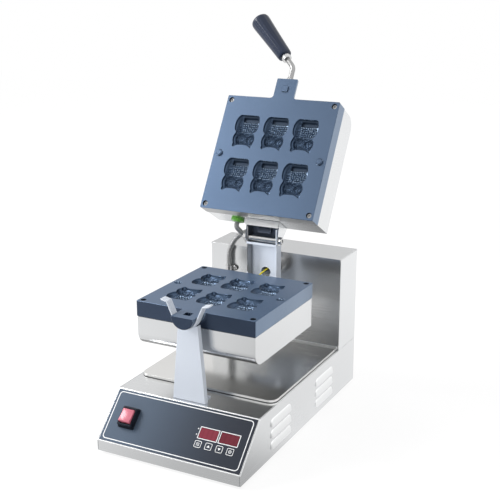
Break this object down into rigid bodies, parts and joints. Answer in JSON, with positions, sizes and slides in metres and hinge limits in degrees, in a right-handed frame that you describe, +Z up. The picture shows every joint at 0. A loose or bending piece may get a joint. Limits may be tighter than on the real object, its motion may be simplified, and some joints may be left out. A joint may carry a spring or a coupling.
{
  "type": "owl waffle maker",
  "caption": "Countertop steel waffle maker: a hinged pair of cast moulds with owl cavities on a rotating shaft, above a sloping control base, open.",
  "frame": {"origin": "centre of the bounding box in plan, at the level of the feet", "axes": "+X to the machine's right as seen from the front, +Y from the control panel to the back, +Z up"},
  "size_m": [0.256, 0.4872, 0.64],
  "materials": {
    "steel": "brushed",
    "bright": "polished",
    "mould": "non-stick coated casting",
    "overlay": "satin film",
    "black": "satin",
    "red": "gloss",
    "window": "gloss",
    "green": "satin",
    "board": "satin",
    "rubber": "matte",
    "grip": "gloss resin",
    "earth": "satin insulation",
    "conduit": "ribbed"
  },
  "bodies": {
    "base": {"base_top_sheet": "steel", "base_side_left": "steel", "base_side_right": "steel", "base_bottom_plate": "steel", "foot_front_left": "rubber", "foot_front_right": "rubber", "foot_rear_left": "rubber", "foot_rear_right": "rubber", "tower_shell": "steel", "tower_lid": "steel", "rear_panel": "steel", "mains_gland": "black", "deck_plate": "steel", "panel_overlay": "overlay", "display_window_left": "window", "display_window_right": "window", "switch_frame": "black", "controller_board": "board", "heater_relay": "black", "terminal_block": "black", "support_arm": "steel", "lug_cradle": "steel", "front_bearing": "bright", "rear_bearing": "bright", "shaft_bracket": "steel", "conduit_deck_gland": "bright", "conduit_clip": "bright", "conduit_lower": "conduit"},
    "rocker": {"power_rocker": "red"},
    "mode_key": {"key_mode": "overlay"},
    "up_key": {"key_up": "overlay"},
    "down_key": {"key_down": "overlay"},
    "set_key": {"key_set": "overlay"},
    "lower_mould": {"lower_plate": "mould", "lower_housing": "steel", "lower_heater": "bright", "lower_screw_1": "bright", "lower_screw_2": "bright", "lower_screw_3": "bright", "lower_screw_4": "bright", "hinge_column": "steel", "hinge_pin": "bright", "hinge_sleeve": "bright", "hinge_nut": "bright", "rotary_shaft": "bright", "earth_wire": "earth", "conduit_upper": "conduit"},
    "upper_mould": {"upper_plate": "mould", "upper_housing": "steel", "upper_heater": "bright", "upper_screw_1": "bright", "upper_screw_2": "bright", "upper_screw_3": "bright", "upper_screw_4": "bright", "hinge_bracket": "bright", "upper_gland": "green", "handle_rod": "bright", "handle_ferrule": "bright", "handle_grip": "grip"}
  },
  "joints": [
    {"name": "mould_turn", "type": "hinge", "parent": "base", "child": "lower_mould", "pos_m": [0, 0.07789, 0.2256], "axis": [0, 1, 0], "range_deg": [-20, 20], "deforming": ["conduit_lower"]},
    {"name": "mould_open", "type": "hinge", "parent": "lower_mould", "child": "upper_mould", "pos_m": [0, 0.07789, 0.2809], "axis": [1, 0, 0], "range_deg": [0, 120.6], "deforming": ["conduit_upper"]},
    {"name": "power_switch", "type": "hinge", "parent": "base", "child": "rocker", "pos_m": [-0.085, -0.21519, 0.05657], "axis": [1, 0, 0], "range_deg": [0, 12]},
    {"name": "mode_press", "type": "slide", "parent": "base", "child": "mode_key", "axis": [0, 0.7015, -0.7127], "range_m": [0, 0.0005], "stiffness_N_per_m": 400},
    {"name": "up_press", "type": "slide", "parent": "base", "child": "up_key", "axis": [0, 0.7015, -0.7127], "range_m": [0, 0.0005], "stiffness_N_per_m": 400},
    {"name": "down_press", "type": "slide", "parent": "base", "child": "down_key", "axis": [0, 0.7015, -0.7127], "range_m": [0, 0.0005], "stiffness_N_per_m": 400},
    {"name": "set_press", "type": "slide", "parent": "base", "child": "set_key", "axis": [0, 0.7015, -0.7127], "range_m": [0, 0.0005], "stiffness_N_per_m": 400}
  ]
}
